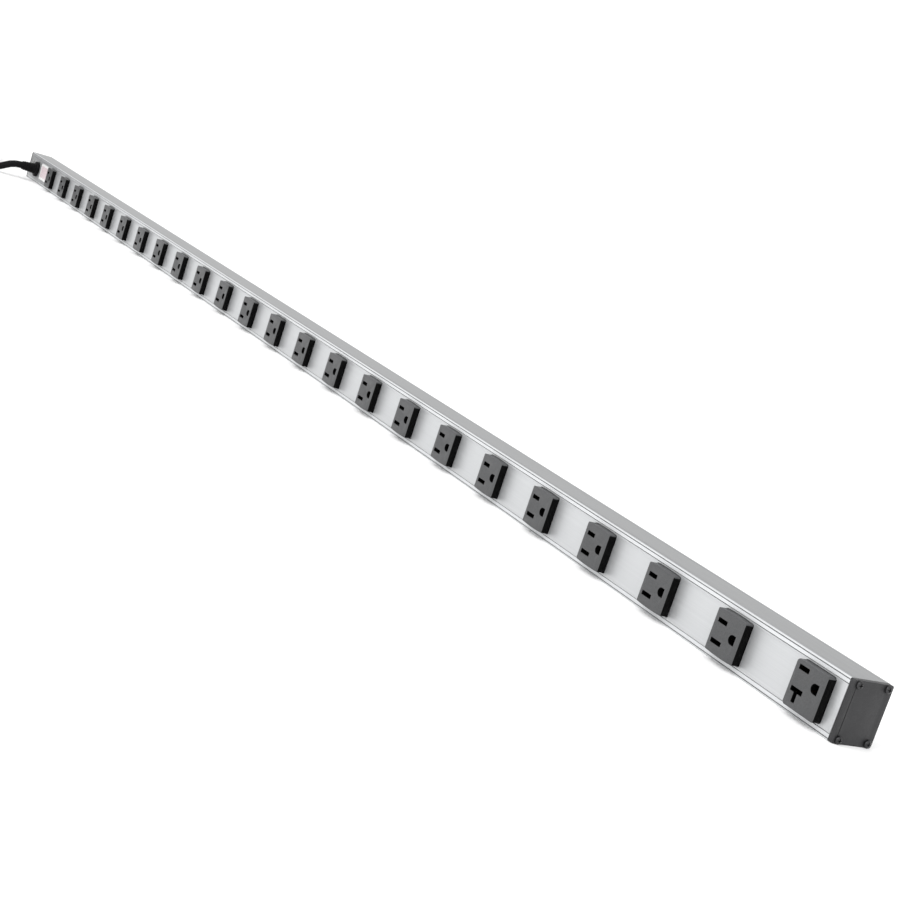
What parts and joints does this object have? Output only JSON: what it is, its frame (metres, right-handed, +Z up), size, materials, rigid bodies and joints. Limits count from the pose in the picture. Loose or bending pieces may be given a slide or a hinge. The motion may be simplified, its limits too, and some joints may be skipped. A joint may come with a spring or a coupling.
{
  "type": "rack power strip",
  "caption": "Long slim aluminium power strip with a row of raised sockets turned sideways, screwed end caps and a cord that leaves the socket face at one end.",
  "frame": {"origin": "under the middle of the strip's own box, without its cord, on the surface that it lies on", "axes": "+X along the strip from the cord's end to the other, sockets facing -Y, flat back facing +Y, +Z up across the socket row"},
  "size_m": [2.1201, 0.1563, 0.0524],
  "materials": {
    "channel": "satin anodised, fine lengthwise grain",
    "cover": "satin anodised",
    "sockets": "fine moulded satin",
    "caps": "fine moulded texture",
    "cap_screws": "black oxide",
    "brass": "rolled strip",
    "nickel": "nickel plated",
    "liner": "matt insulating board",
    "black_lead": "smooth insulation",
    "white_lead": "smooth insulation",
    "green_lead": "smooth insulation",
    "cord_fittings": "moulded nylon",
    "cord": "smooth jacket",
    "plug": "moulded, lightly textured",
    "label": "blank printed film with a white border",
    "tie": "hook-and-loop strap"
  },
  "bodies": {
    "root": {"bond_lead": "green_lead", "cap_screw_far_1": "cap_screws", "cap_screw_far_2": "cap_screws", "cap_screw_far_3": "cap_screws", "cap_screw_far_4": "cap_screws", "cap_screw_near_1": "cap_screws", "cap_screw_near_2": "cap_screws", "cap_screw_near_3": "cap_screws", "cap_screw_near_4": "cap_screws", "channel_body": "channel", "cord_hank": "cord", "cord_lead": "cord", "cord_tail": "cord", "cord_tie": "tie", "cover_bond_screw": "nickel", "end_cap_far": "caps", "end_cap_near": "caps", "face_label": "label", "front_cover": "cover", "ground_bus_bar": "brass", "ground_lead": "green_lead", "insulating_liner": "liner", "line_bus_bar": "brass", "line_lead": "black_lead", "neutral_bus_bar": "nickel", "neutral_lead": "white_lead", "plug_body": "plug", "plug_ground_pin": "nickel", "plug_line_blade": "nickel", "plug_neutral_blade": "nickel", "receptacle_01": "sockets", "receptacle_02": "sockets", "receptacle_03": "sockets", "receptacle_04": "sockets", "receptacle_05": "sockets", "receptacle_06": "sockets", "receptacle_07": "sockets", "receptacle_08": "sockets", "receptacle_09": "sockets", "receptacle_10": "sockets", "receptacle_11": "sockets", "receptacle_12": "sockets", "receptacle_13": "sockets", "receptacle_14": "sockets", "receptacle_15": "sockets", "receptacle_16": "sockets", "receptacle_17": "sockets", "receptacle_18": "sockets", "receptacle_19": "sockets", "receptacle_20": "sockets", "receptacle_21": "sockets", "receptacle_22": "sockets", "receptacle_23": "sockets", "receptacle_24_20a": "sockets", "strain_relief": "cord_fittings", "strain_relief_locknut": "cord_fittings"}
  },
  "joints": []
}
